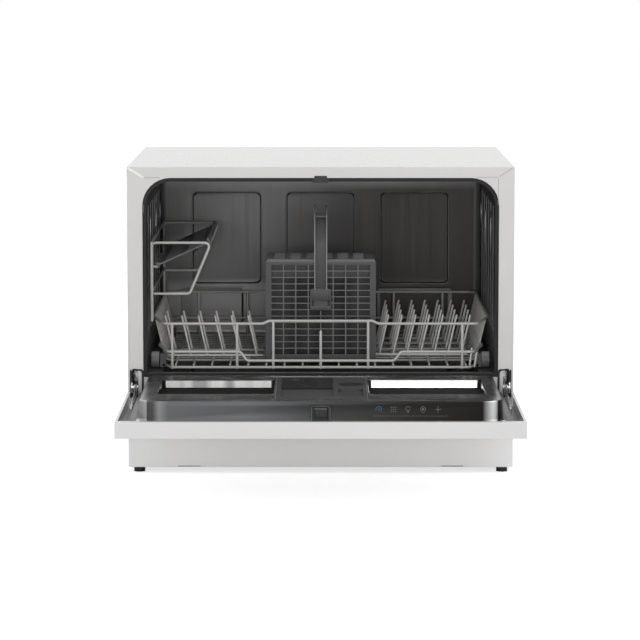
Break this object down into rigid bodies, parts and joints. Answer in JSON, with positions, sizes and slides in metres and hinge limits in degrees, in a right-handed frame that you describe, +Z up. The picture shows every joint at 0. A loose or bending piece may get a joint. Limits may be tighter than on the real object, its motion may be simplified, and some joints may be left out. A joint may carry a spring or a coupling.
{
  "type": "countertop dishwasher",
  "caption": "Small white countertop dishwasher with a fold-down door, steel tub, wheeled wire basket, side cup shelf and cutlery basket.",
  "frame": {"origin": "on the table under the middle of the whole outline, door folded down and basket home", "axes": "+X to the right as seen from the front, +Y from the open door to the back panel, +Z up"},
  "size_m": [0.55, 0.78, 0.438],
  "materials": {
    "white_enamel": "satin",
    "zinc_sheet": "satin",
    "tub_steel": "brushed",
    "liner_steel": "brushed",
    "hinge_steel": "bright",
    "filter_steel": "satin",
    "dark_plastic": "matte",
    "black_plastic": "matte",
    "seal_rubber": "matte",
    "grey_plastic": "satin",
    "panel_plastic": "satin",
    "pale_plastic": "matte",
    "wire_coating": "satin",
    "display_glass": "gloss",
    "board_green": "satin",
    "clear_plastic": "gloss",
    "motor_steel": "satin"
  },
  "bodies": {
    "cabinet": {"outer_wrap": "white_enamel", "front_frame": "zinc_sheet", "back_panel": "zinc_sheet", "base_tray": "black_plastic", "kick_panel": "white_enamel", "feet": "dark_plastic", "tub": "tub_steel", "tub_gasket": "seal_rubber", "striker": "black_plastic", "sump": "dark_plastic", "flat_filter": "filter_steel", "heater": "hinge_steel", "arm_hub": "dark_plastic", "wash_pump": "dark_plastic", "wash_motor": "motor_steel", "drain_pump": "dark_plastic", "softener": "pale_plastic", "inlet_valve": "pale_plastic", "air_break": "clear_plastic", "drain_spigot": "dark_plastic", "cable_gland": "black_plastic", "inner_pipes": "seal_rubber", "control_board": "board_green", "hinge_bracket_l": "hinge_steel", "hinge_bracket_r": "hinge_steel"},
    "door": {"hinge_arm_l": "hinge_steel", "hinge_arm_r": "hinge_steel", "door_pan": "white_enamel", "door_liner": "liner_steel", "latch_housing": "black_plastic", "dispenser_body": "dark_plastic", "control_panel": "panel_plastic", "door_grip": "grey_plastic", "display": "display_glass"},
    "latch": {"latch_bolt": "hinge_steel"},
    "lid": {"dispenser_lid": "dark_plastic", "lid_catch": "grey_plastic"},
    "rinse_stop": {"rinse_cap": "black_plastic"},
    "button_power": {"power_button": "grey_plastic"},
    "button_program": {"program_button": "grey_plastic"},
    "button_start": {"start_button": "grey_plastic"},
    "basket": {"basket_frame": "wire_coating", "basket_floor": "wire_coating", "tines_left": "wire_coating", "tines_right": "wire_coating", "side_rack": "wire_coating", "wheel_holders": "dark_plastic"},
    "shelf": {"cup_shelf": "dark_plastic"},
    "cutlery": {"cutlery_basket": "dark_plastic", "cutlery_handle": "dark_plastic"},
    "wheel_front_left": {"wheel_fl": "dark_plastic"},
    "wheel_front_right": {"wheel_fr": "dark_plastic"},
    "wheel_back_left": {"wheel_bl": "dark_plastic"},
    "wheel_back_right": {"wheel_br": "dark_plastic"},
    "spray": {"spray_arm": "dark_plastic"},
    "filter": {"filter_cup": "grey_plastic"},
    "salt": {"salt_cap": "grey_plastic"},
    "float": {"float_dome": "pale_plastic"}
  },
  "joints": [
    {"name": "door_hinge", "type": "hinge", "parent": "cabinet", "child": "door", "pos_m": [0, -0.087, 0.123], "axis": [1, 0, 0], "range_deg": [-90, 0]},
    {"name": "basket_slide", "type": "slide", "parent": "cabinet", "child": "basket", "axis": [0, -1, 0], "range_m": [0, 0.27]},
    {"name": "wheel_front_left_roll", "type": "hinge", "parent": "basket", "child": "wheel_front_left", "pos_m": [-0.238, -0.032, 0.156], "axis": [1, 0, 0], "range_deg": [0, 1320]},
    {"name": "wheel_front_right_roll", "type": "hinge", "parent": "basket", "child": "wheel_front_right", "pos_m": [0.238, -0.032, 0.156], "axis": [1, 0, 0], "range_deg": [0, 1320]},
    {"name": "wheel_back_left_roll", "type": "hinge", "parent": "basket", "child": "wheel_back_left", "pos_m": [-0.238, 0.26, 0.156], "axis": [1, 0, 0], "range_deg": [0, 1320]},
    {"name": "wheel_back_right_roll", "type": "hinge", "parent": "basket", "child": "wheel_back_right", "pos_m": [0.238, 0.26, 0.156], "axis": [1, 0, 0], "range_deg": [0, 1320]},
    {"name": "cup_shelf_fold", "type": "hinge", "parent": "basket", "child": "shelf", "pos_m": [-0.236, 0.124, 0.292], "axis": [0, -1, 0], "range_deg": [0, 60]},
    {"name": "cutlery_lift", "type": "slide", "parent": "basket", "child": "cutlery", "axis": [0, 0, 1], "range_m": [0, 0.035]},
    {"name": "spray_arm_spin", "type": "hinge", "parent": "cabinet", "child": "spray", "pos_m": [0, 0.132, 0.12], "axis": [0, 0, 1], "continuous": true},
    {"name": "filter_turn", "type": "hinge", "parent": "cabinet", "child": "filter", "pos_m": [0, 0.04, 0.09], "axis": [0, 0, 1], "range_deg": [0, 45]},
    {"name": "salt_cap_turn", "type": "hinge", "parent": "cabinet", "child": "salt", "pos_m": [-0.175, 0.25, 0.09], "axis": [0, 0, 1], "range_deg": [0, 90]},
    {"name": "float_rise", "type": "slide", "parent": "cabinet", "child": "float", "axis": [0, 0, 1], "range_m": [0, 0.004]},
    {"name": "latch_bolt_throw", "type": "slide", "parent": "door", "child": "latch", "axis": [0, -1, 0], "range_m": [0, 0.005]},
    {"name": "dispenser_lid_slide", "type": "slide", "parent": "door", "child": "lid", "axis": [0, -1, 0], "range_m": [0, 0.06]},
    {"name": "rinse_cap_turn", "type": "hinge", "parent": "door", "child": "rinse_stop", "pos_m": [0.042, -0.208, 0.14], "axis": [0, 0, 1], "range_deg": [0, 90]},
    {"name": "power_button_press", "type": "slide", "parent": "door", "child": "button_power", "axis": [0, 0, 1], "range_m": [0, 0.002], "stiffness_N_per_m": 300, "springref_m": -0.002},
    {"name": "program_button_press", "type": "slide", "parent": "door", "child": "button_program", "axis": [0, 0, 1], "range_m": [0, 0.002], "stiffness_N_per_m": 300, "springref_m": -0.002},
    {"name": "start_button_press", "type": "slide", "parent": "door", "child": "button_start", "axis": [0, 0, 1], "range_m": [0, 0.002], "stiffness_N_per_m": 300, "springref_m": -0.002}
  ],
  "couplings": [
    {"joint": "wheel_front_left_roll", "follows": "basket_slide", "rad_per_m": 84.39},
    {"joint": "wheel_front_right_roll", "follows": "basket_slide", "rad_per_m": 84.39},
    {"joint": "wheel_back_left_roll", "follows": "basket_slide", "rad_per_m": 84.39},
    {"joint": "wheel_back_right_roll", "follows": "basket_slide", "rad_per_m": 84.39}
  ]
}
